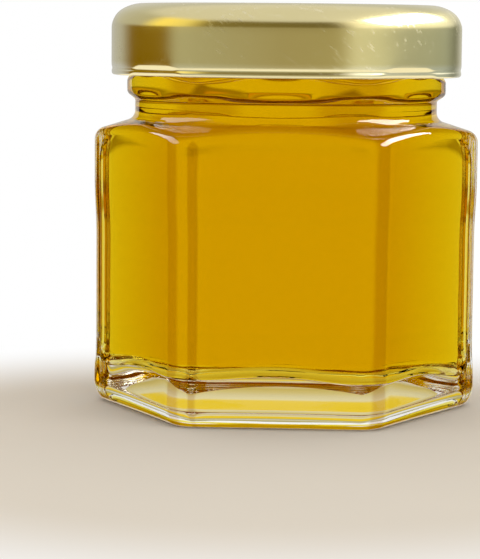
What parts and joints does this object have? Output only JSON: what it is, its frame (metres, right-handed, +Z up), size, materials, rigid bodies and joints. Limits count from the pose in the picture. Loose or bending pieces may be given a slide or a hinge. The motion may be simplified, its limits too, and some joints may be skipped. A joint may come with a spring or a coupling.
{
  "type": "hexagonal glass jar of honey with a twist-off lid",
  "caption": "Shut hexagonal clear glass jar with a round neck and bead, full of amber honey, under a gold metal twist-off lid.",
  "frame": {"origin": "on the supporting surface, under the middle of the jar", "axes": "+Z up along the jar's axis; one of the flat label panels faces -Y, and two upright corners lie on X"},
  "size_m": [0.061, 0.0554, 0.0636],
  "materials": {
    "clear_glass": "clear moulded flint glass, fire polished",
    "honey": "clear runny amber honey, stood in for by a glossy solid",
    "gold_lid": "satin gold lacquer over tinplate"
  },
  "bodies": {
    "root": {"glass_jar": "clear_glass", "honey": "honey", "lid": "gold_lid"}
  },
  "joints": []
}
